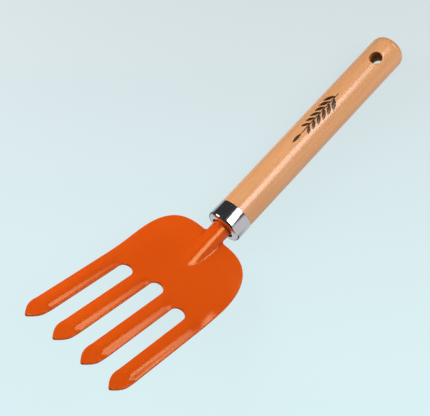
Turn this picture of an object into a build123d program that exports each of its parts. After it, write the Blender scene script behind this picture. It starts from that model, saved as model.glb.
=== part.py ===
"""Small garden hand fork: a pressed sheet-steel head, a plated ferrule and a turned wooden handle.

X runs along the handle towards the tines, Z is up, on the side that the tines bend to, and Y is
across the head. The origin is the middle of the hanging hole, on the handle's axis. Millimetres.
"""

import os
from math import cos, radians, sin

from build123d import *

os.makedirs("parts", exist_ok=True)

# ---- driving dimensions: handle
grip_len = 167.5  # wood, from butt to front end
grip_dia = 23.0
butt_round = 6.5  # corner radius between the side and the butt's crown
butt_crown = 28.0  # radius of the shallow dome on the butt
hole_from_butt = 16.2  # butt to the middle of the hanging hole, on the axis
hole_dia = 8.4
hole_lean = 20.0  # degrees that the hole leans, its lower mouth nearer the butt
hole_edge = 0.5  # softened edge of the hole's mouths

# ---- driving dimensions: ferrule
ferrule_len = 13.0
ferrule_wall = 0.7
ferrule_proud = 0.3  # how far the ferrule stands out beyond the wood
ferrule_lip = 2.2  # outside radius of the drawn front corner
mouth_gap = 1.2  # clearance between the neck and the ferrule's round mouth
mouth_edge = 0.3  # rounding of the opening's edges
front_gap = 1.5  # hollow between the wood's front end and the ferrule's front wall

# ---- driving dimensions: head
sheet = 1.8  # steel thickness
neck_dia = 13.0  # outside of the half-round neck
neck_len = 7.7  # ferrule front to the shoulders
tang_len = 62.0  # hidden part of the neck, tapering inside the handle
tang_tip_dia = 6.4
tang_clearance = 0.05  # radial, between the tang and its tapered socket
socket_mouth = 0.2  # extra radius of the socket where the neck enters the wood
taper_from = 1.5  # depth inside the wood where socket and tang start to taper
rib_past = 1.0  # how far the rib runs on under the palm's surface

head_width = 72.8
shoulder_len = 45.0  # ferrule front to where the head is at full width
shoulder_fullness = 0.75  # how square the shoulders are, 0 to 1
notch_round = 1.8  # inside corners between neck and shoulders

bend_start = 2.0  # ferrule front to where the sheet starts to rise
bend_radius = 106.0  # middle of the sheet
bend_angle = 33.6  # degrees, tines against the handle's axis

tine_count = 4
tine_width = 11.3
tine_end = 140.9  # ferrule front to tine points, along the sheet
outer_root = 61.8  # ferrule front to the outer slots' round ends, along the sheet
middle_root = 57.4
tine_arch = 1.3  # rise of each tine's middle over its edges
tine_blend = 3.0  # how far a tine's arched section runs back into the palm
point_len = 13.2  # tapered length at a tine's point
point_round = 1.3

# ---- derived places
butt_x = -hole_from_butt
front_x = butt_x + grip_len  # front end of the wood
cap_x = front_x + front_gap  # inner face of the ferrule's front wall
ferrule_x = cap_x + ferrule_wall  # front face of the ferrule
grip_r = grip_dia / 2
ferrule_r = grip_r + ferrule_proud
seat_r = ferrule_r - ferrule_wall  # wood turned down to seat in the ferrule
neck_r = neck_dia / 2
mouth_r = neck_r + mouth_gap
tang_tip_r = tang_tip_dia / 2
tang_tip_x = ferrule_x - tang_len
taper_x = front_x - taper_from
neck_back = ferrule_x  # where the neck meets the tang
turn = radians(bend_angle)
bend_x = ferrule_x + bend_start
mid_z = sheet / 2
# The rib ends where the palm's upper face has risen to the top of the half-round.
face_radius = bend_radius - mid_z
rib_drop = mid_z + bend_radius - neck_r
rib_end = bend_x + (face_radius**2 - rib_drop**2) ** 0.5 + rib_past
slot_count = tine_count - 1
slot_width = (head_width - tine_count * tine_width) / slot_count
tine_pitch = tine_width + slot_width

# The flat stretch that the tines lie in starts where the bend ends.
bend_end_s = bend_start + bend_radius * turn
bend_end = (bend_x + bend_radius * sin(turn), mid_z + bend_radius * (1 - cos(turn)))
tine_plane = Plane(
    origin=(bend_end[0], 0, bend_end[1]),
    x_dir=(cos(turn), 0, sin(turn)),
    z_dir=(-sin(turn), 0, cos(turn)),
)
far = 2 * (tine_end + head_width)  # longer than anything on the head


def along(place):
    """Place along the sheet, from the ferrule front, as a local x on the tine plane."""
    return place - bend_end_s


# ---- handle: turned wood with a tapered socket and a hanging hole
with BuildPart() as handle:
    with BuildSketch(Plane.XY):
        with BuildLine():
            side = Polyline(
                (butt_x, 0),
                (front_x, 0),
                (front_x, seat_r - ferrule_lip),
                (front_x - ferrule_lip, seat_r),
                (ferrule_x - ferrule_len, seat_r),
                (ferrule_x - ferrule_len, grip_r),
                (butt_x + butt_crown - (butt_crown**2 - grip_r**2) ** 0.5, grip_r),
            )
            RadiusArc(side @ 1, side @ 0, -butt_crown)
        make_face()
        butt_corner = vertices().filter_by(lambda v: v.X < 0 and abs(v.Y - grip_r) < 1e-6)
        fillet(butt_corner, butt_round)
    revolve(axis=Axis.X)
    # The socket follows the tang's taper, with the clearance all round it.
    with BuildSketch(Plane.XY):
        Polygon(
            (front_x, 0),
            (front_x, neck_r + tang_clearance + socket_mouth),
            (taper_x, neck_r + tang_clearance),
            (tang_tip_x, tang_tip_r + tang_clearance),
            (tang_tip_x, 0),
            align=None,
        )
    revolve(axis=Axis.X, mode=Mode.SUBTRACT)
    lean = radians(hole_lean)
    hole_plane = Plane(origin=(0, 0, 0), x_dir=(cos(lean), 0, -sin(lean)), z_dir=(sin(lean), 0, cos(lean)))
    with BuildSketch(hole_plane):
        Circle(hole_dia / 2)
    extrude(amount=grip_dia, both=True, mode=Mode.SUBTRACT)
    mouths = handle.edges().filter_by(lambda e: abs(e.center().X) < grip_r and e.length > 1.5 * hole_dia)
    fillet(mouths.filter_by(GeomType.LINE, reverse=True), hole_edge)
handle.part.label = "handle"
export_step(handle.part, "parts/handle.step")

# ---- ferrule: a drawn cap with a round mouth, pressed over the handle's turned-down end
with BuildPart() as ferrule:
    with BuildSketch(Plane.XY):
        with BuildLine():
            Polyline(
                (ferrule_x - ferrule_len, seat_r),
                (ferrule_x - ferrule_len, ferrule_r),
                (ferrule_x, ferrule_r),
                (ferrule_x, mouth_r),
                (cap_x, mouth_r),
                (cap_x, seat_r),
                close=True,
            )
        make_face()
    revolve(axis=Axis.X)
    rims = ferrule.edges().group_by(Axis.X)
    fillet(rims[-1].sort_by(SortBy.RADIUS)[-1], ferrule_lip)
    inner_corner = ferrule.edges().filter_by(GeomType.CIRCLE).filter_by(
        lambda e: abs(e.radius - seat_r) < 1e-6 and abs(e.center().X - cap_x) < 1e-6
    )
    fillet(inner_corner, ferrule_lip - ferrule_wall)
    mouth_rims = ferrule.edges().filter_by(GeomType.CIRCLE).filter_by(
        lambda e: abs(e.radius - mouth_r) < 1e-6
    )
    fillet(mouth_rims, mouth_edge)
ferrule.part.label = "ferrule"
export_step(ferrule.part, "parts/ferrule.step")

# ---- head: one sheet-steel pressing from the tang to the tine points
with BuildPart() as fork_head:
    # The palm's side view: flat at the neck, then rising round the bend.
    palm_end = max(outer_root, middle_root) + slot_width / 2
    with BuildSketch(Plane.XZ):
        with BuildLine():
            under = JernArc((bend_x, 0), (1, 0), bend_radius + mid_z, bend_angle)
            over = JernArc((bend_x, sheet), (1, 0), face_radius, bend_angle)
            run = max(along(palm_end), 0.5)
            low_end = under @ 1 + Vector(cos(turn), sin(turn)) * run
            high_end = over @ 1 + Vector(cos(turn), sin(turn)) * run
            Polyline(under @ 1, low_end, high_end, over @ 1)
            Polyline(over @ 0, (ferrule_x, sheet), (ferrule_x, 0), under @ 0)
        make_face()
    extrude(amount=head_width, both=True)
    # Its plan: a narrow neck, round notches and full shoulders.
    with BuildSketch(Plane.XY):
        with BuildLine():
            half = head_width / 2
            neck_edge = Line((ferrule_x, neck_r), (ferrule_x + neck_len, neck_r))
            shoulder = Bezier(
                neck_edge @ 1,
                (ferrule_x + neck_len, neck_r + shoulder_fullness * (half - neck_r)),
                (ferrule_x + shoulder_len - shoulder_fullness * (shoulder_len - neck_len), half),
                (ferrule_x + shoulder_len, half),
            )
            Polyline(shoulder @ 1, (ferrule_x + far, half), (ferrule_x + far, 0), (ferrule_x, 0), neck_edge @ 0)
        make_face()
        mirror(about=Plane.XZ)
        notches = vertices().filter_by(lambda v: abs(v.X - ferrule_x - neck_len) < 1e-3)
        fillet(notches, notch_round)
    extrude(amount=far, both=True, mode=Mode.INTERSECT)
    # Tines: an arched section along the flat stretch, cut to a point in plan.
    back = along(outer_root) - tine_blend
    crown = tine_arch / 2
    half_tine = tine_width / 2
    section = Plane(
        origin=tine_plane.from_local_coords((back, 0, 0)),
        x_dir=(0, 1, 0),
        z_dir=tine_plane.x_dir,
    )
    point_x = along(tine_end)
    for tine in range(tine_count):
        centre = (tine - (tine_count - 1) / 2) * tine_pitch
        with BuildPart(mode=Mode.PRIVATE) as one_tine:
            with BuildSketch(section):
                with BuildLine():
                    low = ThreePointArc(
                        (centre - half_tine, -mid_z - crown),
                        (centre, -mid_z + crown),
                        (centre + half_tine, -mid_z - crown),
                    )
                    high = ThreePointArc(
                        (centre - half_tine, mid_z - crown),
                        (centre, mid_z + crown),
                        (centre + half_tine, mid_z - crown),
                    )
                    Line(low @ 0, high @ 0)
                    Line(low @ 1, high @ 1)
                make_face()
            extrude(amount=point_x - back)
            with BuildSketch(tine_plane):
                with BuildLine():
                    edge = Line((back, centre + half_tine), (point_x - point_len, centre + half_tine))
                    Bezier(
                        edge @ 1,
                        (point_x - point_len / 2, centre + half_tine),
                        (point_x - point_len / 4, centre + 0.6 * half_tine),
                        (point_x, centre),
                    )
                    Polyline((point_x, centre), (back, centre), edge @ 0)
                make_face()
                mirror(about=Plane(origin=tine_plane.from_local_coords((0, centre, 0)), z_dir=(0, 1, 0)))
                fillet(vertices().sort_by(Axis.X)[-1], point_round)
            extrude(amount=half_tine, both=True, mode=Mode.INTERSECT)
        add(one_tine.part)
    # Neck: half-round outside, running on as a rib until the rising palm swallows it.
    with BuildPart(mode=Mode.PRIVATE) as rib:
        with BuildSketch(Plane.YZ.offset(neck_back)):
            Circle(neck_r)
            Rectangle(neck_dia, neck_dia, align=(Align.CENTER, Align.MAX), mode=Mode.SUBTRACT)
        extrude(amount=rib_end - neck_back)
        with BuildSketch(Plane.XZ):
            with BuildLine():
                floor = JernArc((bend_x, 0), (1, 0), bend_radius + mid_z, bend_angle)
                Polyline(floor @ 1, (ferrule_x + far, -far), (bend_x, -far), floor @ 0)
            make_face()
        extrude(amount=neck_dia, both=True, mode=Mode.SUBTRACT)
    add(rib.part)
    with BuildSketch(Plane.YZ.offset(neck_back)):
        Circle(neck_r - sheet)
    extrude(amount=rib_end - neck_back, mode=Mode.SUBTRACT)
    # Tang: the half-round carries on into the handle, drawn down to a spike.
    with BuildSketch(Plane.XY):
        Polygon(
            (neck_back, neck_r - sheet),
            (neck_back, neck_r),
            (taper_x, neck_r),
            (tang_tip_x, tang_tip_r),
            (tang_tip_x, tang_tip_r - sheet),
            (taper_x, neck_r - sheet),
            align=None,
        )
    revolve(axis=Axis.X, revolution_arc=180)
    # Slots: round-ended gaps between the tines, the middle one a little deeper.
    for slot in range(slot_count):
        centre = (slot - (slot_count - 1) / 2) * tine_pitch
        root = middle_root if slot == slot_count // 2 else outer_root
        with BuildSketch(tine_plane):
            with Locations((along(root) + slot_width / 2, centre)):
                Circle(slot_width / 2)
            with Locations((along(root) + slot_width / 2, centre)):
                Rectangle(tine_end, slot_width, align=(Align.MIN, Align.CENTER))
        extrude(amount=bend_radius / 4, both=True, mode=Mode.SUBTRACT)
fork_head.part.label = "fork_head"
export_step(fork_head.part, "parts/fork_head.step")
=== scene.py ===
"""Looks of a small garden hand fork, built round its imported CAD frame.

X runs along the handle towards the tines, Z is up on the side that the tines bend to, and Y is
across the head. Shapes are worked out in millimetres and put into their meshes in metres.
"""

import logging
import math
from dataclasses import dataclass
from enum import Enum

import bpy
import numpy as np
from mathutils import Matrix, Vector


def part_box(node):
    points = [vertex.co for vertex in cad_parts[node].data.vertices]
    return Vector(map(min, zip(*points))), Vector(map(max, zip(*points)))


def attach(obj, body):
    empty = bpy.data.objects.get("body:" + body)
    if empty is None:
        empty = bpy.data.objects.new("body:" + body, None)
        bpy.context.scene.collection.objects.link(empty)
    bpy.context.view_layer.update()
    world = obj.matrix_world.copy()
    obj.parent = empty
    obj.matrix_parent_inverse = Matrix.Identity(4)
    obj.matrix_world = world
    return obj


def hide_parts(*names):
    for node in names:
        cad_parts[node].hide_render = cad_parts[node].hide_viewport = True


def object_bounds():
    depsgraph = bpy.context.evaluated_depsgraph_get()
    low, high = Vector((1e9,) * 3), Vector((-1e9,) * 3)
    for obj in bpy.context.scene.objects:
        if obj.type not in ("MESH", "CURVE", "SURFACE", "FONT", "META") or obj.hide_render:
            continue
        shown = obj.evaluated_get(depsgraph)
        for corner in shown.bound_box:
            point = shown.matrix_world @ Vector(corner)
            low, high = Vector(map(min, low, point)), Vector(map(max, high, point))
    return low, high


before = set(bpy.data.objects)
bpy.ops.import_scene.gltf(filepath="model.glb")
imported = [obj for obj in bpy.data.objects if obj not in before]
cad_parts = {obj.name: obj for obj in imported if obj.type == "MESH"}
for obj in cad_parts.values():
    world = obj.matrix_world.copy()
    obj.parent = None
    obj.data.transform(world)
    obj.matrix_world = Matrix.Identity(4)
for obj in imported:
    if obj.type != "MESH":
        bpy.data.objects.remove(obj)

log = logging.getLogger("hand_fork")
MM = 0.001
CAD_BOX = [list(corner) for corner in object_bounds()]
Array = np.ndarray


def smoothstep(value: Array, low: float, high: float) -> Array:
    """Eases from 0 to 1 as value goes from low to high: 3t^2 - 2t^3.

    Args:
        value: Where to ease.
        low: Value at which the result leaves 0.
        high: Value at which the result reaches 1.

    Returns:
        The eased share, the same shape as value.
    """
    t = np.clip((value - low) / (high - low), 0.0, 1.0)
    return t * t * (3.0 - 2.0 * t)


def grid_faces(index: Array) -> list[tuple[int, ...]]:
    """Faces between neighbouring rows and columns of a grid of vertex numbers.

    Args:
        index: Vertex numbers, rows by columns. A repeated number makes a triangle.

    Returns:
        Faces that turn from rows to columns.
    """
    quads = np.stack([index[:-1, :-1], index[1:, :-1], index[1:, 1:], index[:-1, 1:]], axis=-1)
    faces = [tuple(dict.fromkeys(quad)) for quad in quads.reshape(-1, 4).tolist()]
    return [face for face in faces if len(face) > 2]


def spaced_after(low: float, high: float, count: int) -> Array:
    """Evenly spaced values from low to high, without low itself."""
    return np.linspace(low, high, count + 1)[1:]


def close_ring(index: Array) -> Array:
    """Repeats the first column of a grid of vertex numbers at its end."""
    return np.concatenate([index, index[:, :1]], axis=1)


def number_grid(points: Array, first: int = 0) -> Array:
    """Vertex numbers of a grid of points, rows by columns, counted from first."""
    return first + np.arange(points.shape[0] * points.shape[1]).reshape(points.shape[:2])


def drop_unused(points: Array, faces: list[tuple[int, ...]]) -> tuple[Array, list[tuple[int, ...]]]:
    """Leaves out points that no face uses and renumbers the faces.

    Args:
        points: Vertices, n by 3.
        faces: Vertex numbers of each face.

    Returns:
        The points in use and the faces, in the same order.
    """
    used = np.unique(np.concatenate([np.array(face) for face in faces]))
    renumber = np.zeros(len(points), int)
    renumber[used] = np.arange(len(used))
    return points[used], [tuple(renumber[list(face)].tolist()) for face in faces]


def mesh_piece(name: str, points: Array, faces: list[tuple[int, ...]]) -> bpy.types.Object:
    """Makes a smooth-shaded piece whose object stays at the origin.

    Args:
        name: Piece name.
        points: Vertices in millimetres, n by 3.
        faces: Vertex numbers of each face, turning outwards.

    Returns:
        The new object, linked to the scene.
    """
    mesh = bpy.data.meshes.new(name)
    mesh.from_pydata((points * MM).tolist(), [], faces)
    mesh.polygons.foreach_set("use_smooth", np.ones(len(mesh.polygons), bool))
    mesh.update()
    piece = bpy.data.objects.new(name, mesh)
    bpy.context.scene.collection.objects.link(piece)
    return piece


def rounded_outline(
    corners: list[tuple[float, float, float]], steps: int = 8, closed: bool = True
) -> Array:
    """A plane outline whose corners are arcs.

    Each corner's arc starts and ends where a circle of its radius touches both sides, so its
    points are the circle's centre plus the radius turned evenly from one touching point to the other.

    Args:
        corners: Corner places and arc radii, (a, b, radius).
        steps: Divisions of each arc.
        closed: Whether the last corner joins the first.

    Returns:
        Points of the outline, n by 2.
    """
    places = np.array([corner[:2] for corner in corners], float)
    points = []
    for number, (a, b, radius) in enumerate(corners):
        is_end = not closed and number in (0, len(corners) - 1)
        if radius == 0 or is_end:
            points.append(places[number][None])
            continue
        to_last = places[number - 1] - places[number]
        to_next = places[(number + 1) % len(corners)] - places[number]
        to_last /= np.linalg.norm(to_last)
        to_next /= np.linalg.norm(to_next)
        half = math.acos(np.clip(to_last @ to_next, -1, 1)) / 2
        middle = to_last + to_next
        centre = places[number] + middle / np.linalg.norm(middle) * radius / math.sin(half)
        start = places[number] + to_last * radius / math.tan(half) - centre
        end = places[number] + to_next * radius / math.tan(half) - centre
        turned = math.atan2(start[0] * end[1] - start[1] * end[0], start @ end)
        angle = np.linspace(0, turned, steps + 1)[:, None]
        across = np.array([-start[1], start[0]])
        points.append(centre + start * np.cos(angle) + across * np.sin(angle))
    return np.concatenate(points)


def turned_solid(name: str, profile: Array, steps: int) -> bpy.types.Object:
    """Carries a closed (x, radius) profile round the X axis.

    A point of the profile goes to (x, r sin a, r cos a) at each angle a of the turn.

    Args:
        name: Piece name.
        profile: Closed outline, n by 2, running forwards along the outside.
        steps: Divisions of the turn.

    Returns:
        The new piece.
    """
    angle = np.linspace(0, 2 * np.pi, steps, endpoint=False)[None, :]
    x = np.repeat(profile[:, :1], steps, axis=1)
    radius = profile[:, 1:]
    points = np.stack([x, radius * np.sin(angle), radius * np.cos(angle)], axis=-1)
    index = number_grid(points)
    index = close_ring(np.concatenate([index, index[:1]], axis=0))
    return mesh_piece(name, points.reshape(-1, 3), grid_faces(index))


# ---- finishes


def linear(hex_colour: str) -> tuple[float, float, float, float]:
    """Linear colour of an sRGB hex value.

    Args:
        hex_colour: The value, such as "#D9520B".

    Returns:
        Red, green, blue and full alpha.
    """
    channels = np.array([int(hex_colour[i : i + 2], 16) / 255 for i in (1, 3, 5)])
    low = channels / 12.92
    high = ((channels + 0.055) / 1.055) ** 2.4
    return (*np.where(channels <= 0.04045, low, high).tolist(), 1.0)


def add_node(
    tree: bpy.types.NodeTree,
    kind: str,
    inputs: dict | None = None,
    stops: tuple[tuple[float, str], ...] = (),
    **settings,
) -> bpy.types.Node:
    """Adds a node with its settings, values and links.

    Args:
        tree: Node tree to add to.
        kind: Node type, such as "ShaderNodeTexNoise".
        inputs: Socket name or number to a value, or to the output socket that feeds it.
        stops: Place and hex colour of each stop, for a colour ramp.
        **settings: Properties of the node.

    Returns:
        The new node.
    """
    node = tree.nodes.new(kind)
    for key, value in settings.items():
        setattr(node, key, value)
    for key, value in (inputs or {}).items():
        if isinstance(value, bpy.types.NodeSocket):
            tree.links.new(value, node.inputs[key])
        else:
            node.inputs[key].default_value = value
    for number, (place, colour) in enumerate(stops):
        elements = node.color_ramp.elements
        element = elements[number] if number < len(elements) else elements.new(place)
        element.position = place
        element.color = linear(colour)
    return node


def new_material(name: str) -> tuple[bpy.types.Material, bpy.types.NodeTree, bpy.types.Node]:
    """Makes a node material with its Principled shader already on the output.

    Args:
        name: Material name.

    Returns:
        The material, its node tree and the shader.
    """
    material = bpy.data.materials.new(name)
    material.use_nodes = True
    tree = material.node_tree
    tree.nodes.clear()
    shader = add_node(tree, "ShaderNodeBsdfPrincipled")
    add_node(tree, "ShaderNodeOutputMaterial", {"Surface": shader.outputs[0]})
    return material, tree, shader


def replace_shader(tree: bpy.types.NodeTree, shader: bpy.types.Node, surface: bpy.types.Node) -> None:
    """Puts another surface on the material's output and takes the Principled shader away.

    Args:
        tree: The material's node tree.
        shader: Its Principled shader.
        surface: Node to put in its place.
    """
    output = shader.outputs[0].links[0].to_node
    tree.links.new(surface.outputs[0], output.inputs["Surface"])
    tree.nodes.remove(shader)


@dataclass(frozen=True)
class PowderCoat:
    """Stoved orange powder coat on steel: deep even colour under a smooth gloss with a faint orange peel."""

    colour: str = "#D9520B"
    shade: str = "#D34D0A"
    sheen: str = "#FFE6A0"  # warm tint of its highlights
    roughness: float = 0.16
    gloss: float = 0.45
    patch_mm: float = 40.0
    peel_mm: float = 1.6

    def build(self) -> bpy.types.Material:
        """Builds the material.

        Returns:
            The material.
        """
        material, tree, shader = new_material("orange_powder_coat")
        place = add_node(tree, "ShaderNodeTexCoord").outputs["Object"]
        patch = add_node(
            tree, "ShaderNodeTexNoise", {"Vector": place, "Scale": 1 / (self.patch_mm * MM), "Detail": 2}
        )
        peel = add_node(
            tree, "ShaderNodeTexNoise", {"Vector": place, "Scale": 1 / (self.peel_mm * MM), "Detail": 1}
        )
        colour = add_node(
            tree, "ShaderNodeValToRGB", {0: patch.outputs[0]}, stops=((0.3, self.shade), (0.7, self.colour))
        )
        bump = add_node(
            tree, "ShaderNodeBump", {"Height": peel.outputs[0], "Strength": 0.005, "Distance": 0.05 * MM}
        )
        tree.links.new(colour.outputs[0], shader.inputs["Base Color"])
        tree.links.new(bump.outputs[0], shader.inputs["Normal"])
        shader.inputs["Roughness"].default_value = self.roughness
        shader.inputs["IOR"].default_value = 1.5
        shader.inputs["Specular IOR Level"].default_value = self.gloss
        shader.inputs["Specular Tint"].default_value = linear(self.sheen)
        return material


@dataclass(frozen=True)
class BrightPlate:
    """Nickel-chrome plate on drawn steel: a near mirror with the faintest drawing lines round it."""

    colour: str = "#D9D9DC"
    roughness: float = 0.13
    line_mm: float = 0.5
    line_stretch: float = 0.05  # a line's width over its length, which runs round the cap

    def build(self) -> bpy.types.Material:
        """Builds the material.

        Returns:
            The material.
        """
        material, tree, shader = new_material("bright_chrome_plate")
        place = add_node(tree, "ShaderNodeTexCoord").outputs["Object"]
        stretch = add_node(
            tree, "ShaderNodeMapping", {"Vector": place, "Scale": (1, self.line_stretch, self.line_stretch)}
        )
        lines = add_node(
            tree, "ShaderNodeTexNoise",
            {"Vector": stretch.outputs[0], "Scale": 1 / (self.line_mm * MM), "Detail": 2},
        )
        bump = add_node(
            tree, "ShaderNodeBump", {"Height": lines.outputs[0], "Strength": 0.04, "Distance": 0.02 * MM}
        )
        tree.links.new(bump.outputs[0], shader.inputs["Normal"])
        shader.inputs["Base Color"].default_value = linear(self.colour)
        shader.inputs["Metallic"].default_value = 1.0
        shader.inputs["Roughness"].default_value = self.roughness
        return material


@dataclass(frozen=True)
class VarnishedWood:
    """Pale close-grained hardwood under clear varnish: warm straight grain with short fine flecks."""

    light: str = "#E2A371"
    dark: str = "#D39561"
    fleck: str = "#B9773F"
    roughness: float = 0.18
    gloss: float = 0.4
    ring_mm: float = 6.0
    grain_mm: float = 0.9
    fleck_mm: float = 0.5
    grain_stretch: float = 0.04  # a streak's width over its length
    fleck_stretch: float = 0.12
    grain_share: float = 0.45  # how much of the colour follows the grain, and not the rings

    def build(self) -> bpy.types.Material:
        """Builds the material.

        Returns:
            The material.
        """
        material, tree, shader = new_material("varnished_hardwood")
        place = add_node(tree, "ShaderNodeTexCoord").outputs["Object"]
        patterns = []
        for stretch, size_mm, detail in (
            (self.grain_stretch, self.ring_mm, 3),
            (self.grain_stretch, self.grain_mm, 4),
            (self.fleck_stretch, self.fleck_mm, 2),
        ):
            along = add_node(tree, "ShaderNodeMapping", {"Vector": place, "Scale": (stretch, 1, 1)})
            patterns.append(add_node(
                tree, "ShaderNodeTexNoise",
                {"Vector": along.outputs[0], "Scale": 1 / (size_mm * MM), "Detail": detail},
            ).outputs[0])
        rings, grain, flecks = patterns
        tone = add_node(tree, "ShaderNodeMix", {0: self.grain_share, 2: rings, 3: grain}, data_type="FLOAT")
        body = add_node(
            tree, "ShaderNodeValToRGB", {0: tone.outputs[0]}, stops=((0.38, self.dark), (0.62, self.light))
        )
        spots = add_node(
            tree, "ShaderNodeValToRGB", {0: flecks}, stops=((0.60, "#000000"), (0.72, "#5A5A5A"))
        )
        colour = add_node(
            tree, "ShaderNodeMix", {0: spots.outputs[0], 6: body.outputs[0], 7: linear(self.fleck)},
            data_type="RGBA",
        )
        bump = add_node(tree, "ShaderNodeBump", {"Height": grain, "Strength": 0.08, "Distance": 0.05 * MM})
        tree.links.new(colour.outputs[2], shader.inputs["Base Color"])
        tree.links.new(bump.outputs[0], shader.inputs["Normal"])
        shader.inputs["Roughness"].default_value = self.roughness
        shader.inputs["Specular IOR Level"].default_value = self.gloss
        return material


@dataclass(frozen=True)
class BareWoodWithPaintedShade:
    """Unvarnished wood inside the hanging hole: brown and dull, its colour set darker than the outer wood as
    painted shade for the hole.
    """

    # painted shade: both stops are darker than the varnished wood, standing in for the shade inside the hole
    colour: str = "#C28A50"
    dark: str = "#A66E3A"
    roughness: float = 0.85
    gloss: float = 0.1
    grain_mm: float = 0.9
    grain_stretch: float = 0.1

    def build(self) -> bpy.types.Material:
        """Builds the material.

        Returns:
            The material.
        """
        material, tree, shader = new_material("bare_wood_with_painted_shade")
        place = add_node(tree, "ShaderNodeTexCoord").outputs["Object"]
        along = add_node(tree, "ShaderNodeMapping", {"Vector": place, "Scale": (self.grain_stretch, 1, 1)})
        grain = add_node(
            tree, "ShaderNodeTexNoise",
            {"Vector": along.outputs[0], "Scale": 1 / (self.grain_mm * MM), "Detail": 3},
        )
        colour = add_node(
            tree, "ShaderNodeValToRGB", {0: grain.outputs[0]}, stops=((0.4, self.dark), (0.6, self.colour))
        )
        tree.links.new(colour.outputs[0], shader.inputs["Base Color"])
        shader.inputs["Roughness"].default_value = self.roughness
        shader.inputs["Specular IOR Level"].default_value = self.gloss
        return material


@dataclass(frozen=True)
class PrintedInk:
    """Dark brown pad-printed ink: thin, matt and slightly worn, so that the wood shows in specks."""

    colour: str = "#3E2312"
    worn: str = "#6B4324"
    roughness: float = 0.35
    speck_mm: float = 0.7

    def build(self) -> bpy.types.Material:
        """Builds the material.

        Returns:
            The material.
        """
        material, tree, shader = new_material("brown_print_ink")
        place = add_node(tree, "ShaderNodeTexCoord").outputs["Object"]
        specks = add_node(
            tree, "ShaderNodeTexNoise", {"Vector": place, "Scale": 1 / (self.speck_mm * MM), "Detail": 2}
        )
        colour = add_node(
            tree, "ShaderNodeValToRGB", {0: specks.outputs[0]}, stops=((0.5, self.colour), (0.75, self.worn))
        )
        tree.links.new(colour.outputs[0], shader.inputs["Base Color"])
        shader.inputs["Roughness"].default_value = self.roughness
        return material


# ---- pieces


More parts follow.
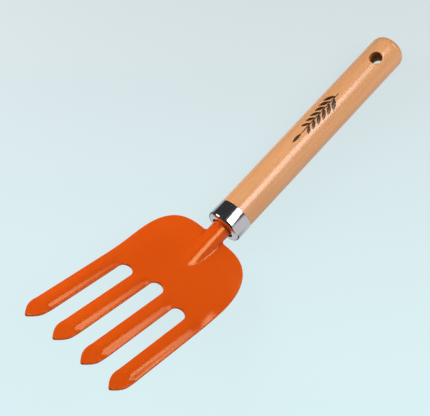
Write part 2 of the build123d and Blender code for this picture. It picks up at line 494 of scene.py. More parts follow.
@dataclass
class ForkHead:
    """The pressed head: tang, half-round neck, rib, palm and four arched tines, all one sheet.

    A place on the sheet is (s, y): s along the middle line from the ferrule's front, y across.
    """

    ferrule_x: float
    sheet: float = 1.8
    edge: float = 0.5  # rounding of the sheet's cut edge
    neck_dia: float = 13.0
    neck_len: float = 7.7
    tang_len: float = 61.9
    tang_tip_dia: float = 6.4
    taper_from: float = 2.2
    width: float = 72.8
    shoulder_len: float = 46.3
    shoulder_power: float = 2.82
    notch_round: float = 2.6
    bend_start: float = 2.0
    bend_radius: float = 106.0
    bend_angle: float = 33.6
    tine_count: int = 4
    tine_width: float = 11.3
    tine_end: float = 140.9
    outer_root: float = 61.8
    middle_root: float = 57.4
    arch: float = 1.2  # rise of a tine's ridge over its edges
    land: float = 0.94  # share of the tine's half-width that the ridge takes
    bow: float = 0.8  # how much lower the head's sides lie than its middle
    point_len: float = 13.2
    point_round: float = 1.3
    rib_steep: float = 84.0  # limiting steepness of the rib's flank at the neck, in degrees
    rib_easing: float = 22.0  # how much it eases where the rib opens out
    rib_opening: tuple[float, float] = (-1.0, 7.0)  # where that happens, from the neck's end
    rib_fillet: tuple[float, float] = (0.02, 1.3)  # softness of the rib's foot, and what the palm adds
    ridge_power: float = 1.25
    ridge_rise: tuple[float, float] = (-1.0, 9.0)  # where a ridge rises, from its tine's root
    ridge_fall: tuple[float, float] = (-3.0, 2.0)  # where it dies away, from the start of the point
    root_reach: float = 0.6  # share of the pitch over which the middle slot's root counts
    roll_rise: tuple[float, float] = (26.0, 42.0)  # where the palm's sides begin to roll down, along s
    bow_rise: tuple[float, float] = (5.0, 30.0)  # where the head begins to bow
    tang_steps: int = 14
    neck_steps: int = 8
    notch_steps: int = 7
    shoulder_steps: int = 46
    shoulder_spacing: float = 1.5  # power that draws the shoulder's rows towards the notch
    palm_steps: int = 30
    tine_steps: int = 60
    point_steps: int = 14
    tip_steps: int = 6
    edge_steps: int = 8

    def centre(self, s: Array) -> tuple[Array, Array, Array]:
        """Middle line of the sheet: straight, then round the bend, then straight again.

        Args:
            s: Distance along the line.

        Returns:
            x from the ferrule, z and the line's slope in radians.
        """
        turn = math.radians(self.bend_angle)
        slope = np.clip((s - self.bend_start) / self.bend_radius, 0, turn)
        past = np.maximum(s - self.bend_start - self.bend_radius * turn, 0)
        x = np.minimum(s, self.bend_start) + self.bend_radius * np.sin(slope) + past * math.cos(turn)
        z = self.sheet / 2 + self.bend_radius * (1 - np.cos(slope)) + past * math.sin(turn)
        return x, z, slope

    def neck_radius(self, s: Array) -> Array:
        """Radius of the half-round's middle: steady in the neck, tapering along the tang."""
        outer = np.interp(s, [-self.tang_len, -self.taper_from], [self.tang_tip_dia / 2, self.neck_dia / 2])
        return outer - self.sheet / 2

    def rib(self, s: Array, y: Array) -> Array:
        """Height of the half-round over the sheet.

        A circle about the handle's axis up to a limiting steepness, then its tangent, joined to the
        flat sheet by a soft maximum, (h + sqrt(h^2 + k^2)) / 2, that leaves a fillet at its foot.

        Args:
            s: Distance along the middle line.
            y: Distance across.

        Returns:
            The height.
        """
        radius = self.neck_radius(s)
        opening = smoothstep(s, *(self.neck_len + ease for ease in self.rib_opening))
        limit = np.radians(self.rib_steep - self.rib_easing * opening)
        across = np.abs(y)
        past = across - radius * np.sin(limit)
        arc = np.sqrt(np.maximum(radius**2 - across**2, 0))
        top = np.where(past <= 0, arc, radius * np.cos(limit) - past * np.tan(limit))
        _, z, slope = self.centre(s)
        height = (top - z) / np.cos(slope)
        soft = self.rib_fillet[0] + self.rib_fillet[1] * opening
        return (height + np.sqrt(height**2 + soft**2)) / 2

    def half_width(self, s: Array) -> Array:
        """Half the palm's width: a superellipse from the notch to the full width.

        Args:
            s: Distance along the middle line.

        Returns:
            The half-width, less the edge's rounding.
        """
        start = self.neck_half + self.notch_round
        t = np.clip((self.shoulder_len - s) / (self.shoulder_len - self.neck_len - self.edge), 0, 1)
        power = self.shoulder_power
        return start + (self.width / 2 - self.edge - start) * (1 - t**power) ** (1 / power)

    def pressed(self, s: Array, y: Array) -> Array:
        """Height of the pressing over the middle surface: ridged tines and rolled palm edges.

        Each tine is a soft ridge, half its rise times cos(pi d^p), which dies away before the point;
        d is the share of its half-width and p the ridge's power. The palm's sides roll down by the
        square of the nearness to the edge, and the whole head is bowed down to its sides by the
        square of y. All ease in along s.

        Args:
            s: Distance along the middle line.
            y: Distance across.

        Returns:
            The height.
        """
        half_count = self.tine_count // 2
        nearest = np.clip(np.round(y / self.pitch + 0.5), 1 - half_count, half_count) - 0.5
        off = np.clip(np.abs(y - nearest * self.pitch) / (self.tine_width / 2 * self.land), 0, 1)
        ridge = self.arch / 2 * np.cos(np.pi * off**self.ridge_power)
        middle_share = np.exp(-((y / (self.root_reach * self.pitch)) ** 4))
        root = self.outer_root - (self.outer_root - self.middle_root) * middle_share
        to_tine = smoothstep(s, *(root + ease for ease in self.ridge_rise))
        point = self.tine_end - self.point_len
        to_point = smoothstep(s, *(point + ease for ease in self.ridge_fall))
        near = 1 - np.clip((self.half_width(s) - np.abs(y)) / (self.tine_width / 2), 0, 1)
        roll = -self.arch / 2 * near**2 * smoothstep(s, *self.roll_rise)
        bow = -self.bow * (2 * y / self.width) ** 2 * np.interp(s, self.bow_rise, [0, 1])
        return roll * (1 - to_tine) + ridge * to_tine * (1 - to_point) + bow

    def place(self, s: Array, y: Array) -> Array:
        """Point of the middle surface: the middle line plus its height along the line's normal.

        Args:
            s: Distance along the middle line.
            y: Distance across.

        Returns:
            The points, with x, y and z last.
        """
        x, z, slope = self.centre(s)
        height = self.rib(s, y) + self.pressed(s, y)
        return np.stack([self.ferrule_x + x - height * np.sin(slope), y, z + height * np.cos(slope)], axis=-1)

    def normal(self, s: Array, y: Array) -> Array:
        """Unit normal of the middle surface, from central differences of the formula.

        Args:
            s: Distance along the middle line.
            y: Distance across.

        Returns:
            The normals, with x, y and z last.
        """
        step = 0.01
        along = self.place(s + step, y) - self.place(s - step, y)
        across = self.place(s, y + step) - self.place(s, y - step)
        cross = np.cross(along, across)
        return cross / np.linalg.norm(cross, axis=-1, keepdims=True)

    def __post_init__(self) -> None:
        """Works out the sizes that several methods share."""
        self.neck_half = math.sqrt((self.neck_dia / 2 - self.sheet / 2) ** 2 - (self.sheet / 2) ** 2)
        self.slot_width = (self.width - self.tine_count * self.tine_width) / (self.tine_count - 1)
        self.pitch = self.slot_width + self.tine_width

    def columns(
        self, tine_steps: int = 20, slot_steps: int = 16
    ) -> tuple[Array, Array, list[slice], list[slice]]:
        """Lays columns across the head, tine by tine and slot by slot.

        Args:
            tine_steps: Columns across one tine.
            slot_steps: Columns across one slot, evenly turned round its end.

        Returns:
            y of each column, s where the palm ends on it, and the columns of each tine and slot.
        """
        half = self.tine_width / 2 - self.edge
        gap = self.slot_width / 2 + self.edge
        slot_count = self.tine_count - 1
        roots = [
            self.middle_root if slot == slot_count // 2 else self.outer_root for slot in range(slot_count)
        ]
        joins = [root + self.slot_width / 2 for root in roots]
        ys, ends, tines, slots, count = [], [], [], [], 0
        for tine in range(self.tine_count):
            middle = (tine - (self.tine_count - 1) / 2) * self.pitch
            left = joins[max(tine - 1, 0)]
            right = joins[min(tine, slot_count - 1)]
            ys.append(np.linspace(middle - half, middle + half, tine_steps + 1))
            ends.append(np.linspace(left, right, tine_steps + 1))
            tines.append(slice(count, count + tine_steps + 1))
            count += tine_steps + 1
            if tine < slot_count:
                angle = np.linspace(-np.pi / 2, np.pi / 2, slot_steps + 1)[1:-1]
                ys.append(middle + self.pitch / 2 + gap * np.sin(angle))
                ends.append(joins[tine] - gap * np.cos(angle))
                slots.append(slice(count, count + slot_steps - 1))
                count += slot_steps - 1
        return np.concatenate(ys), np.concatenate(ends), tines, slots

    def body_rows(self, column_y: Array, column_end: Array) -> tuple[Array, Array]:
        """Rows of the tang, neck, shoulders and palm.

        Args:
            column_y: y of each column at full width.
            column_end: s where the palm ends on each column.

        Returns:
            s and y of every grid point, rows by columns.
        """
        steep = math.asin(self.neck_half / (self.neck_dia / 2 - self.sheet / 2))
        share = np.linspace(-1, 1, len(column_y))
        full = self.width / 2 - self.edge
        quarter = spaced_after(0, np.pi / 2, self.notch_steps)
        turn = np.pi / 2 * spaced_after(0, 1, self.shoulder_steps) ** self.shoulder_spacing
        start = self.neck_len - self.notch_round
        first = self.neck_half + self.notch_round
        tip = self.neck_len + self.edge
        s = np.concatenate([
            np.linspace(-self.tang_len, -self.taper_from, self.tang_steps),
            spaced_after(-self.taper_from, start, self.neck_steps),
            start + (tip - start) * np.sin(quarter),
            self.shoulder_len - (self.shoulder_len - tip) * np.cos(turn) ** (2 / self.shoulder_power),
        ])
        half = np.concatenate([
            np.full(self.tang_steps + self.neck_steps, self.neck_half),
            self.neck_half + self.notch_round * (1 - np.cos(quarter)),
            first + (full - first) * np.sin(turn) ** (2 / self.shoulder_power),
        ])
        widening = ((half - self.neck_half) / (full - self.neck_half))[:, None]
        radius = self.neck_radius(s)[:, None]
        tang_turn = np.arcsin(np.minimum(np.sqrt(1 - (self.sheet / 2 / radius) ** 2), 1))
        neck_y = self.neck_half * np.sin(share * steep) / math.sin(steep)
        wide_y = neck_y * (1 - widening) + widening * column_y
        y = np.where(widening > 0, wide_y, radius * np.sin(share * tang_turn))
        palm = spaced_after(0, 1, self.palm_steps)[:, None]
        palm_s = self.shoulder_len + palm * (column_end - self.shoulder_len)
        palm_y = np.repeat(column_y[None], len(palm), axis=0)
        body_s = np.repeat(s[:, None], len(column_y), axis=1)
        return np.concatenate([body_s, palm_s]), np.concatenate([y, palm_y])

    def tine_rows(self, column_y: Array, column_end: Array) -> tuple[Array, Array]:
        """Rows of one tine beyond the palm, the last of them drawn together at its point.

        The point's half-width is h((1 - x) + sin(pi x) / pi) at a share x of its length, which
        leaves the straight side smoothly, and a circle that touches both flanks rounds the end.

        Args:
            column_y: y of the tine's columns.
            column_end: s where the palm ends on them.

        Returns:
            s and y of the grid points, rows by columns.
        """
        middle = column_y.mean()
        half = column_y.max() - middle
        share = (column_y - middle) / half
        begin = self.tine_end - self.point_len
        radius = self.point_round - self.edge
        flank = math.atan(2 * half / self.point_len)
        sharp = self.tine_end - self.edge + radius * (1 / math.sin(flank) - 1)
        length = sharp - begin
        straight = spaced_after(0, 1, self.tine_steps)[:, None]
        body_s = column_end + straight * (begin - column_end)
        body_y = np.repeat(column_y[None], len(straight), axis=0)
        touch = 1 - radius * math.cos(flank) / math.tan(flank) / length
        x = spaced_after(0, touch, self.point_steps)
        angle = spaced_after(flank, np.pi / 2, self.tip_steps)
        centre = sharp - radius / math.sin(flank)
        tip_s = np.concatenate([begin + x * length, centre + radius * np.sin(angle)])
        tip_half = np.concatenate([half * ((1 - x) + np.sin(np.pi * x) / np.pi), radius * np.cos(angle)])
        tip_y = middle + tip_half[:, None] * share
        tip_s = np.repeat(tip_s[:, None], len(column_y), axis=1)
        return np.concatenate([body_s, tip_s]), np.concatenate([body_y, tip_y])

    def build(self) -> bpy.types.Object:
        """Builds the whole head as one closed skin.

        Returns:
            The piece: upper face, lower face and the rounded cut edge carried round the outline.
        """
        column_y, column_end, tines, slots = self.columns()
        body_s, body_y = self.body_rows(column_y, column_end)
        body = number_grid(body_s)
        grids, all_s, all_y, count = [body], [body_s.ravel()], [body_y.ravel()], body.size
        for tine in tines:
            tine_s, tine_y = self.tine_rows(column_y[tine], column_end[tine])
            index = number_grid(tine_s, count)
            index[-1] = index[-1, 0]
            all_s.append(tine_s.ravel())
            all_y.append(tine_y.ravel())
            count += index.size
            grids.append(np.concatenate([body[-1:, tine], index]))
        s, y = np.concatenate(all_s), np.concatenate(all_y)
        loop = [body[:-1, 0]]
        for number, grid in enumerate(grids[1:]):
            loop += [grid[:-1, 0], grid[-1:, 0], grid[:-1, -1][::-1]]
            if number < len(slots):
                loop.append(body[-1, slots[number]])
        loop += [body[:-1, -1][::-1], body[0, 1:-1][::-1]]
        outline = np.concatenate(loop)

        middle, normal = self.place(s, y), self.normal(s, y)
        upper = middle + normal * self.sheet / 2
        lower = middle - normal * self.sheet / 2
        tangent = np.roll(middle[outline], -1, axis=0) - np.roll(middle[outline], 1, axis=0)
        outward = np.cross(tangent, normal[outline])
        outward /= np.linalg.norm(outward, axis=1, keepdims=True)
        angle = np.linspace(0, np.pi, self.edge_steps + 1)[1:-1, None, None]
        rim = (
            middle[outline]
            + normal[outline] * self.sheet / 2 * np.cos(angle)
            + outward * self.edge * np.sin(angle)
        )
        points = np.concatenate([upper, lower, rim.reshape(-1, 3)])
        rings = number_grid(rim, len(upper) * 2)
        rings = close_ring(np.concatenate([outline[None], rings, outline[None] + len(upper)]))
        faces = [face for grid in grids for face in grid_faces(grid)]
        faces += [face[::-1] for grid in grids for face in grid_faces(grid + len(upper))]
        faces += grid_faces(rings)
        return mesh_piece("painted_head", *drop_unused(points, faces))


@dataclass
class Handle:
    """The turned grip, with its leaning hanging hole and the tapered socket for the tang."""

    butt: float
    front: float
    radius: float
    seat: float
    ferrule_back: float
    butt_round: float = 6.5
    butt_crown: float = 28.0
    hole_radius: float = 4.2
    hole_lean: float = 20.0
    hole_edge: float = 0.5
    socket_mouth: float = 6.75
    socket_depth: float = 59.8
    socket_tip: float = 3.25
    patch_half: float = 12.0  # half the length of the two patches that the hole's mouths lie in
    front_round: float = 2.0
    socket_edge: float = 0.3
    socket_lead: tuple[float, float] = (1.5, 0.2)  # length and narrowing of the socket's first taper
    last_ring: float = 0.3  # from the ferrule, so that the side's shading stays straight up to it
    patch_steps: int = 24
    turn_steps: int = 108
    crown_steps: int = 6
    corner_steps: int = 8
    side_steps: int = 19
    mouth_steps: int = 7
    edge_steps: int = 4
    wall_steps: int = 12

    def radius_at(self, x: Array) -> Array:
        """Radius of the side: the butt's corner circle, then straight."""
        inside = np.clip((self.corner_x - x) / self.butt_round, 0, 1)
        return self.radius - self.butt_round + self.butt_round * np.sqrt(1 - inside**2)

    def __post_init__(self) -> None:
        """Finds the butt corner's centre: its circle touches the crown's from inside."""
        reach = self.butt_crown - self.butt_round
        height = self.radius - self.butt_round
        self.corner_x = self.butt + self.butt_crown - math.sqrt(reach**2 - height**2)

    def skin(self, x: Array, turn: Array) -> Array:
        """Point of the outer skin at x and at an angle round the axis from the top."""
        radius = self.radius_at(x)
        return np.stack([x, radius * np.sin(turn), radius * np.cos(turn)], axis=-1)

    def bore(self, angle: Array, radius: float, side: int, sunk: float = 0.0) -> Array:
        """Points round the leaning hole where it meets the skin.

        A generator at the given angle and radius from the hole's axis is followed up (side 1) or
        down (side -1) to the cylinder y^2 + z^2 = R^2, and then back inwards by sunk.

        Args:
            angle: Angle round the hole's axis, 0 towards +X.
            radius: Distance from the hole's axis.
            side: 1 for the upper mouth, -1 for the lower.
            sunk: Distance along the generator from the skin inwards.

        Returns:
            The points, with x, y and z last.
        """
        lean = math.radians(self.hole_lean)
        y = radius * np.sin(angle)
        over = radius * np.cos(angle)
        reach = side * np.sqrt(self.radius**2 - y**2)
        along = (reach + over * math.sin(lean)) / math.cos(lean) - side * sunk
        x = over * math.cos(lean) + along * math.sin(lean)
        return np.stack([x, y, along * math.cos(lean) - over * math.sin(lean)], axis=-1)

    def mouth(self, rim_x: Array, rim_turn: Array, side: int) -> tuple[Array, Array]:
        """Rows from a patch's rim to the start of the hole's wall.

        The skin's rows run evenly from the rim to a ring one edge rounding outside the hole. Then
        a quadratic curve, (1-t)^2 a + 2t(1-t) b + t^2 c, rounds the edge.

        Args:
            rim_x: x of the rim's points.
            rim_turn: Their angle from the mouth's own side, positive towards +Y.
            side: 1 for the upper mouth, -1 for the lower.

        Returns:
            The rows and the angle of each column round the hole.
        """
        middle = side * self.radius * math.tan(math.radians(self.hole_lean))
        angle = np.arctan2(self.radius * rim_turn, rim_x - middle)
        ring = self.bore(angle, self.hole_radius + self.hole_edge, side)
        ring_turn = np.arctan2(ring[:, 1], side * ring[:, 2])
        share = spaced_after(0, 1, self.mouth_steps)[:, None]
        x = rim_x + share * (ring[:, 0] - rim_x)
        turn = rim_turn + share * (ring_turn - rim_turn)
        rows = self.skin(x, turn)
        rows[..., 2] *= side
        corner = self.bore(angle, self.hole_radius, side)
        wall = self.bore(angle, self.hole_radius, side, self.hole_edge)
        t = spaced_after(0, 1, self.edge_steps)[:, None, None]
        edge = (1 - t) ** 2 * rows[-1] + 2 * t * (1 - t) * corner + t**2 * wall
        return np.concatenate([rows, edge]), angle

    def build(self) -> bpy.types.Object:
        """Builds the handle as one closed skin, with its hole and socket.

        Rings go along the side except in two square patches, whose rims the mouths' rows join.

        Returns:
            The piece, with its second material on the hole's bare wall.
        """
        crown_end = math.asin((self.radius - self.butt_round) / (self.butt_crown - self.butt_round))
        crown = np.linspace(0, crown_end, self.crown_steps + 1)
        patch_angle = math.acos((self.corner_x + self.patch_half) / self.butt_round)
        corner = spaced_after(crown_end, patch_angle, self.corner_steps)
        patch_x = np.linspace(-self.patch_half, self.patch_half, self.patch_steps + 1)
        side_x = spaced_after(self.patch_half, self.ferrule_back - self.last_ring, self.side_steps)
        side_x = np.append(side_x, self.ferrule_back)
        outer = np.concatenate([
            np.stack([self.butt + self.butt_crown * (1 - np.cos(crown)),
                      self.butt_crown * np.sin(crown)], -1),
            np.stack([self.corner_x - self.butt_round * np.cos(corner),
                      self.radius - self.butt_round + self.butt_round * np.sin(corner)], -1),
            np.stack([patch_x[1:], self.radius_at(patch_x[1:])], -1),
            np.stack([side_x, np.full(len(side_x), self.radius)], -1),
        ])
        lead, narrowing = self.socket_lead
        inner = rounded_outline([
            (self.ferrule_back, self.seat, 0),
            (self.front, self.seat, self.front_round),
            (self.front, self.socket_mouth, self.socket_edge),
            (self.front - lead, self.socket_mouth - narrowing, 0),
            (self.front - self.socket_depth, self.socket_tip, 0),
            (self.front - self.socket_depth, 0, 0),
        ], closed=False)
        profile = np.concatenate([outer, inner])
        first = self.crown_steps + self.corner_steps  # profile row where the patches start
        turn = (np.arange(self.turn_steps) - self.patch_steps / 2) * 2 * np.pi / self.turn_steps
        x = np.repeat(profile[:, :1], self.turn_steps, axis=1)
        skin = np.stack([x, profile[:, 1:] * np.sin(turn), profile[:, 1:] * np.cos(turn)], axis=-1)
        index = number_grid(x)
        index[0], index[-1] = index[0, 0], index[-1, 0]
        round_index = close_ring(index)
        last = first + self.patch_steps
        steps, half_turn = self.patch_steps, self.turn_steps // 2
        faces = grid_faces(round_index[: first + 1]) + grid_faces(round_index[last:])
        for start in (steps, half_turn + steps):
            faces += grid_faces(round_index[first : last + 1, start : start + half_turn - steps + 1])

        up = np.concatenate([
            index[first, :steps], index[first:last, steps],
            index[last, steps:0:-1], index[last:first:-1, 0],
        ])
        far, near = half_turn, half_turn + steps
        down = np.concatenate([
            index[first, near:far:-1], index[first:last, far],
            index[last, far:near], index[last:first:-1, near],
        ])
        flat = skin.reshape(-1, 3)
        upper, upper_angle = self.mouth(flat[up, 0], np.arctan2(flat[up, 1], flat[up, 2]), 1)
        lower, lower_angle = self.mouth(flat[down, 0], np.arctan2(flat[down, 1], -flat[down, 2]), -1)
        twist = (lower_angle - upper_angle + np.pi) % (2 * np.pi) - np.pi
        share = spaced_after(0, 1, self.wall_steps)[:-1, None]
        angle = upper_angle + share * twist
        top = self.bore(angle, self.hole_radius, 1, self.hole_edge)
        bottom = self.bore(angle, self.hole_radius, -1, self.hole_edge)
        wall = top + share[..., None] * (bottom - top)
        hole = np.concatenate([upper, wall, lower[::-1]])
        hole_index = np.concatenate([up[None], number_grid(hole, len(flat)), down[None]])
        varnished = (self.mouth_steps + self.edge_steps // 2) * len(up)  # faces from a rim into its mouth
        bare_start = len(faces) + varnished
        faces += grid_faces(close_ring(hole_index))
        points = np.concatenate([flat, hole.reshape(-1, 3)])
        handle = mesh_piece("wooden_handle", *drop_unused(points, faces))
        bare = np.zeros(len(faces), np.int32)
        bare[bare_start : len(faces) - varnished] = 1
        handle.data.polygons.foreach_set("material_index", bare)
        return handle


@dataclass
class SprigPrint:
    """A sprig of leaves in dark ink along the handle's top, one thin closed layer on the varnish."""

    middle_x: float
    radius: float
    turn: float = -8.0  # degrees round the handle from its top, negative towards -Y
    length: float = 46.0
    stem_width: float = 0.7
    leaf_length: float = 8.4
    leaf_width: float = 2.7
    leaf_angle: float = 34.0
    leaf_pairs: int = 6
    leaf_fullness: float = 0.8
    leaf_offset: float = 0.25  # from the stem's middle to a leaf's start
    leaf_stagger: float = 0.18  # share of the spacing that a pair's leaves are set apart by, each way
    leaf_taper: float = 0.3  # how much smaller the leaves get towards the tip
    stem_fullness: float = 0.15
    first_pair: float = 0.8  # share of the spacing before the first pair
    stem_overlap: float = 0.2  # share of the tip leaf that the stem runs into
    tip_room: float = 1.9  # leaf lengths kept free of pairs
    tip_width: float = 0.8  # share of a leaf's width that the tip leaf has
    lift: float = 0.02
    thickness: float = 0.03
    rows: int = 15
    columns: int = 5

    def blade(
        self, start: tuple[float, float], angle: float, length: float, width: float, fullness: float
    ) -> tuple[Array, list[tuple[int, ...]]]:
        """One blade as a thin closed layer.

        Its half-width at a share t of its length is the fullness-th power of sin(pi t), from a
        narrow start to a narrow end.

        Args:
            start: Place along and across the handle, measured round the wood.
            angle: Direction from the stem in radians.
            length: Length in millimetres.
            width: Greatest width.
            fullness: Power that makes it blunt, near 0, or pointed, near 1.

        Returns:
            Points and faces.
        """
        t, across = np.meshgrid(
            np.linspace(0.01, 0.99, self.rows), np.linspace(-1, 1, self.columns), indexing="ij"
        )
        half = width / 2 * np.sin(np.pi * t) ** fullness
        x = start[0] + length * t * math.cos(angle) - half * across * math.sin(angle)
        arc = start[1] + length * t * math.sin(angle) + half * across * math.cos(angle)
        turn = math.radians(self.turn) + arc / self.radius
        layers = [
            np.stack([x, radius * np.sin(turn), radius * np.cos(turn)], axis=-1)
            for radius in (self.radius + self.lift + self.thickness, self.radius + self.lift)
        ]
        size = t.size
        top = number_grid(t)
        loop = np.concatenate([top[0, :-1], top[:-1, -1], top[-1, :0:-1], top[:0:-1, 0]])
        loop = np.append(loop, loop[0])
        faces = grid_faces(top) + grid_faces(top[::-1] + size) + grid_faces(np.stack([loop + size, loop]))
        return np.concatenate(layers).reshape(-1, 3), faces

    def build(self) -> bpy.types.Object:
        """Builds the stem, the paired leaves and the leaf at the tip as one piece.

        Returns:
            The piece.
        """
        begin = self.middle_x - self.length / 2
        stem_length = self.length - self.leaf_length * (1 - self.stem_overlap)
        blades = [self.blade((begin, 0.0), 0.0, stem_length, self.stem_width, self.stem_fullness)]
        spacing = (self.length - self.leaf_length * self.tip_room) / self.leaf_pairs
        for pair in range(self.leaf_pairs):
            for side in (-1, 1):
                along = begin + spacing * (pair + self.first_pair + self.leaf_stagger * side)
                size = 1 - self.leaf_taper * pair / self.leaf_pairs
                blades.append(self.blade(
                    (along, self.leaf_offset * side), side * math.radians(self.leaf_angle),
                    self.leaf_length * size, self.leaf_width * size, self.leaf_fullness,
                ))
        tip = begin + self.length - self.leaf_length
        blades.append(self.blade(
            (tip, 0.0), 0.0, self.leaf_length, self.leaf_width * self.tip_width, self.leaf_fullness
        ))
        points, faces, count = [], [], 0
        for blade_points, blade_faces in blades:
            faces += [tuple(number + count for number in face) for face in blade_faces]
            points.append(blade_points)
            count += len(blade_points)
        return mesh_piece("sprig_print", np.concatenate(points), faces)


@dataclass
class Ferrule:
    """The drawn, plated cap over the joint."""

    back: float
    front: float
    outer: float
    wall: float = 0.7
    lip: float = 2.2
    mouth: float = 7.7
    mouth_edge: float = 0.3
    back_edges: tuple[float, float] = (0.1, 0.25)  # inside and outside

    def build(self) -> bpy.types.Object:
        """Turns the cap's wall section round the handle's axis.

        Returns:
            The piece.
        """
        inner = self.outer - self.wall
        section = rounded_outline([
            (self.back, inner, self.back_edges[0]),
            (self.back, self.outer, self.back_edges[1]),
            (self.front, self.outer, self.lip),
            (self.front, self.mouth, self.mouth_edge),
            (self.front - self.wall, self.mouth, self.mouth_edge),
            (self.front - self.wall, inner, self.lip - self.wall),
        ], steps=10)
        return turned_solid("plated_ferrule", section, steps=128)


# ---- studio


class Ray(Enum):
    """Which rays see a stage object."""

    CAMERA = "visible_camera"
    DIFFUSE = "visible_diffuse"
    GLOSSY = "visible_glossy"
    SHADOW = "visible_shadow"


def hide_from(thing: bpy.types.Object, *rays: Ray) -> None:
    """Hides a stage object or light from kinds of ray."""
    for ray in rays:
        setattr(thing, ray.value, False)


@dataclass
class Card:
    """A soft-edged light panel that only the gloss reflects.

    Its corners run round it, in metres, and its glow fades to nothing over the given shares of its
    width and height.
    """

    name: str
    corners: list[tuple[float, float, float]]
    radiance: float
    fade: tuple[float, float]
    direct: bool = False  # whether light is also sought from it directly, which only a large panel needs
    steps: int = 8

    def build(self) -> None:
        """Makes the panel: a grid between its corners, (1-u)(1-v)a + u(1-v)b + uvc + (1-u)vd."""
        share = np.linspace(0, 1, self.steps + 1)
        u, v = np.meshgrid(share, share)
        weights = np.stack([(1 - u) * (1 - v), u * (1 - v), u * v, (1 - u) * v], axis=-1)
        points = weights @ np.array(self.corners) / MM
        panel = mesh_piece(self.name, points.reshape(-1, 3), grid_faces(number_grid(u)))
        layer = panel.data.uv_layers.new(name="panel")
        corner_points = np.zeros(len(panel.data.loops), int)
        panel.data.loops.foreach_get("vertex_index", corner_points)
        layer.data.foreach_set("uv", np.stack([u.ravel(), v.ravel()], -1)[corner_points].ravel())
        material, tree, shader = new_material(self.name + "_glow")
        place = add_node(tree, "ShaderNodeUVMap", uv_map="panel")
        axes = add_node(tree, "ShaderNodeSeparateXYZ", {0: place.outputs[0]})
        glows = []
        for axis, fade in enumerate(self.fade):
            side = add_node(tree, "ShaderNodeMath", {0: axes.outputs[axis], 1: 0.5}, operation="PINGPONG")
            glows.append(add_node(
                tree, "ShaderNodeMapRange", {0: side.outputs[0], 1: 0.0, 2: fade},
                interpolation_type="SMOOTHSTEP",
            ).outputs[0])
        glow = add_node(tree, "ShaderNodeMath", {0: glows[0], 1: glows[1]}, operation="MULTIPLY")
        clear = add_node(tree, "ShaderNodeBsdfTransparent")
        light = add_node(tree, "ShaderNodeEmission", {"Strength": self.radiance})
        replace_shader(tree, shader, add_node(
            tree, "ShaderNodeMixShader", {0: glow.outputs[0], 1: clear.outputs[0], 2: light.outputs[0]}
        ))
        material.cycles.emission_sampling = "AUTO" if self.direct else "NONE"
        panel.data.materials.append(material)
        hide_from(panel, Ray.CAMERA, Ray.DIFFUSE, Ray.SHADOW)


CAMERA_PLACE = (0.1898, 0.1683, 0.6348)  # from the middle of the ferrule's front face
CAMERA_TURN = (22.82, 0.58, 131.12)
LENS_MM = 93.8
PANELS = (
    Card(
        "side_box",
        [(0.05, 0.05, 0.949), (0.05, 0.769, 0.558), (-0.50, 0.294, 0.903), (-0.50, -0.149, 0.938)],
        radiance=8.5, fade=(0.25, 0.1), direct=True,
    ),
    Card(
        "low_box",
        [(-0.72, -0.02, 0.50), (-0.72, 0.04, 0.32), (-0.72, 0.50, 0.08), (-0.72, 0.28, 0.50)],
        radiance=5.6, fade=(0.12, 0.1),
    ),
    Card(
        "front_card",
        [(0.15, -0.88, 0.65), (0.65, -0.68, 0.65), (0.75, -0.70, 0.15), (0.25, -0.95, 0.15)],
        radiance=3.0, fade=(0.15, 0.15),
    ),
)


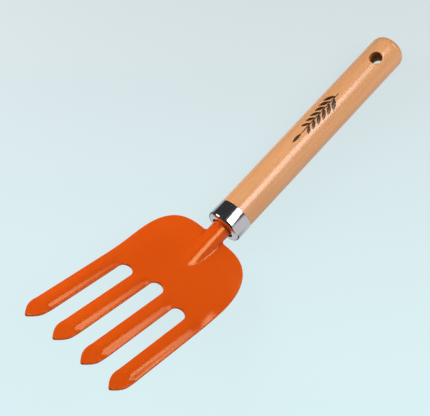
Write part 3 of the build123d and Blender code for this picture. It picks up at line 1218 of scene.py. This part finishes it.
@dataclass
class Studio:
    """Camera, pale floor, soft lights and the panels that the gloss reflects."""

    aim: Vector
    floor_z: float
    floor_half: float = 4.0
    floor_shading: float = 0.1  # share of the floor that takes the light, and so the shadow
    floor_run: tuple[float, float, float] = (0.756, 0.654, 0.0)  # way in which the floor pales
    floor_span: tuple[float, float] = (-0.10, 0.26)  # where it does, in metres
    fill: tuple[float, float] = (0.5, 0.34)  # even light from below and from above

    def area(
        self,
        name: str,
        place: tuple[float, float, float],
        aim: tuple[float, float, float],
        size: float,
        watts: float,
    ) -> None:
        """Adds a square softbox that lights the tool without showing in its gloss.

        Args:
            name: Light name.
            place: Middle of the box in metres.
            aim: Where it faces.
            size: Side in metres.
            watts: Power.
        """
        lamp = bpy.data.lights.new(name, "AREA")
        lamp.size = size
        lamp.energy = watts
        light = bpy.data.objects.new(name, lamp)
        bpy.context.scene.collection.objects.link(light)
        light.location = Vector(place)
        light.rotation_euler = (Vector(aim) - Vector(place)).to_track_quat("-Z", "Y").to_euler()
        hide_from(light, Ray.CAMERA, Ray.GLOSSY)

    def camera(self) -> None:
        """Puts the camera above the tool, a little to the tines' side."""
        lens = bpy.data.cameras.new("camera")
        lens.sensor_width = 36.0
        lens.lens = LENS_MM
        camera = bpy.data.objects.new("camera", lens)
        bpy.context.scene.collection.objects.link(camera)
        camera.location = Vector((self.aim.x, 0, 0)) + Vector(CAMERA_PLACE)
        camera.rotation_euler = [math.radians(angle) for angle in CAMERA_TURN]
        bpy.context.scene.camera = camera

    def floor(self) -> None:
        """Lays a wide pale floor that keeps only a faint shadow."""
        corners = np.array([[-1, -1], [1, -1], [1, 1], [-1, 1]]) * self.floor_half / MM
        points = np.column_stack([corners, np.full(len(corners), self.floor_z / MM)])
        floor = mesh_piece("floor", points, [(0, 1, 2, 3)])
        material, tree, shader = new_material("pale_sweep")
        place = add_node(tree, "ShaderNodeTexCoord").outputs["Object"]
        turned = add_node(
            tree, "ShaderNodeVectorMath", {0: place, 1: self.floor_run}, operation="DOT_PRODUCT"
        )
        share = add_node(
            tree, "ShaderNodeMapRange", {0: turned.outputs[1], 1: self.floor_span[0], 2: self.floor_span[1]}
        )
        colour = add_node(
            tree, "ShaderNodeValToRGB", {0: share.outputs[0]},
            stops=((0.0, "#D5DDDF"), (0.33, "#D6E3E6"), (0.7, "#DAEEF1"), (1.0, "#DCF4F7")),
        ).outputs[0]
        glow = add_node(tree, "ShaderNodeEmission", {"Color": colour, "Strength": 1.0})
        matt = add_node(tree, "ShaderNodeBsdfDiffuse", {"Color": colour})
        replace_shader(tree, shader, add_node(
            tree, "ShaderNodeMixShader", {0: self.floor_shading, 1: glow.outputs[0], 2: matt.outputs[0]}
        ))
        floor.data.materials.append(material)
        hide_from(floor, Ray.GLOSSY, Ray.DIFFUSE)

    def surround(self) -> None:
        """Sets the room: even pale light on matt surfaces, but a dark room in the gloss.

        The gloss finds it pale only far towards +Y, and below except in a strip across the middle.
        """
        world = bpy.data.worlds.new("room")
        world.use_nodes = True
        tree = world.node_tree
        tree.nodes.clear()
        way = add_node(tree, "ShaderNodeTexCoord").outputs["Generated"]
        parts = add_node(tree, "ShaderNodeSeparateXYZ", {0: way})
        across = add_node(tree, "ShaderNodeMapRange", {0: parts.outputs[1], 1: -0.2, 2: 1.0})
        over = add_node(
            tree, "ShaderNodeValToRGB", {0: across.outputs[0]},
            stops=((0.0, "#38383A"), (0.78, "#38383A"), (0.86, "#D8D6DA")),
        ).outputs[0]
        down = add_node(tree, "ShaderNodeMapRange", {0: parts.outputs[2], 1: -0.25, 2: -0.5})
        shifted = add_node(tree, "ShaderNodeMath", {0: parts.outputs[0], 1: 0.05}, operation="ADD")
        aside = add_node(tree, "ShaderNodeMath", {0: shifted.outputs[0]}, operation="ABSOLUTE")
        ends = add_node(tree, "ShaderNodeMapRange", {0: aside.outputs[0], 1: 0.1, 2: 0.25})
        below = add_node(
            tree, "ShaderNodeMath", {0: down.outputs[0], 1: ends.outputs[0]}, operation="MULTIPLY"
        )
        mirror = add_node(
            tree, "ShaderNodeMix", {0: below.outputs[0], 6: over, 7: linear("#D4D6DA")}, data_type="RGBA"
        )
        gloss = add_node(tree, "ShaderNodeBackground", {"Color": mirror.outputs[2]})
        fill = add_node(
            tree, "ShaderNodeMapRange",
            {0: parts.outputs[2], 1: -0.1, 2: 0.1, 3: self.fill[0], 4: self.fill[1]},
        )
        even = add_node(
            tree, "ShaderNodeBackground", {"Color": linear("#F2F6F8"), "Strength": fill.outputs[0]}
        )
        ray = add_node(tree, "ShaderNodeLightPath")
        both = add_node(
            tree, "ShaderNodeMixShader",
            {0: ray.outputs["Is Glossy Ray"], 1: even.outputs[0], 2: gloss.outputs[0]},
        )
        add_node(tree, "ShaderNodeOutputWorld", {"Surface": both.outputs[0]})
        bpy.context.scene.world = world

    def build(self) -> None:
        """Sets up the whole studio."""
        self.camera()
        self.floor()
        self.surround()
        self.area("head_light", (0.22, -0.32, 0.20), (0.20, 0.0, 0.02), size=0.25, watts=1.2)
        self.area("handle_light", (-0.12, 0.28, 0.41), (0.02, 0.0, 0.01), size=0.4, watts=2.1)
        for panel in PANELS:
            panel.build()
        bpy.context.scene.view_settings.view_transform = "Standard"


SPRIG_BEHIND = 91.0  # from the ferrule's front back to the sprig's middle


def dress(piece: bpy.types.Object, material: bpy.types.Material, node: str) -> None:
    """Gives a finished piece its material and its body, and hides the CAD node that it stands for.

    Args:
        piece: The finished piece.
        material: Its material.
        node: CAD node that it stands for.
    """
    piece.data.materials.append(material)
    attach(piece, "root")
    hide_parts(node)
    log.info("%s stands for %s: %d faces", piece.name, node, len(piece.data.polygons))


def main() -> None:
    """Builds the tool in order, then the studio round it."""
    logging.basicConfig(level=logging.INFO, format="%(message)s")
    low, high = (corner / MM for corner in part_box("ferrule"))
    head = ForkHead(ferrule_x=high.x)
    dress(head.build(), PowderCoat().build(), "fork_head")
    ferrule = Ferrule(back=low.x, front=high.x, outer=high.z)
    dress(ferrule.build(), BrightPlate().build(), "ferrule")
    butt, grip_top = (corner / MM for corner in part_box("handle"))
    handle = Handle(
        butt=butt.x, front=grip_top.x, radius=grip_top.z, seat=high.z - ferrule.wall, ferrule_back=low.x
    ).build()
    dress(handle, VarnishedWood().build(), "handle")
    # the hole's bare wall, whose colour carries painted shade
    handle.data.materials.append(BareWoodWithPaintedShade().build())
    sprig = SprigPrint(middle_x=high.x - SPRIG_BEHIND, radius=grip_top.z).build()
    sprig.data.materials.append(PrintedInk().build())
    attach(sprig, "root")
    log.info("%s lies on the handle: %d faces", sprig.name, len(sprig.data.polygons))
    Studio(aim=Vector((high.x * MM, 0.0, 0.0)), floor_z=CAD_BOX[0][2]).build()


if __name__ == "__main__":
    main()
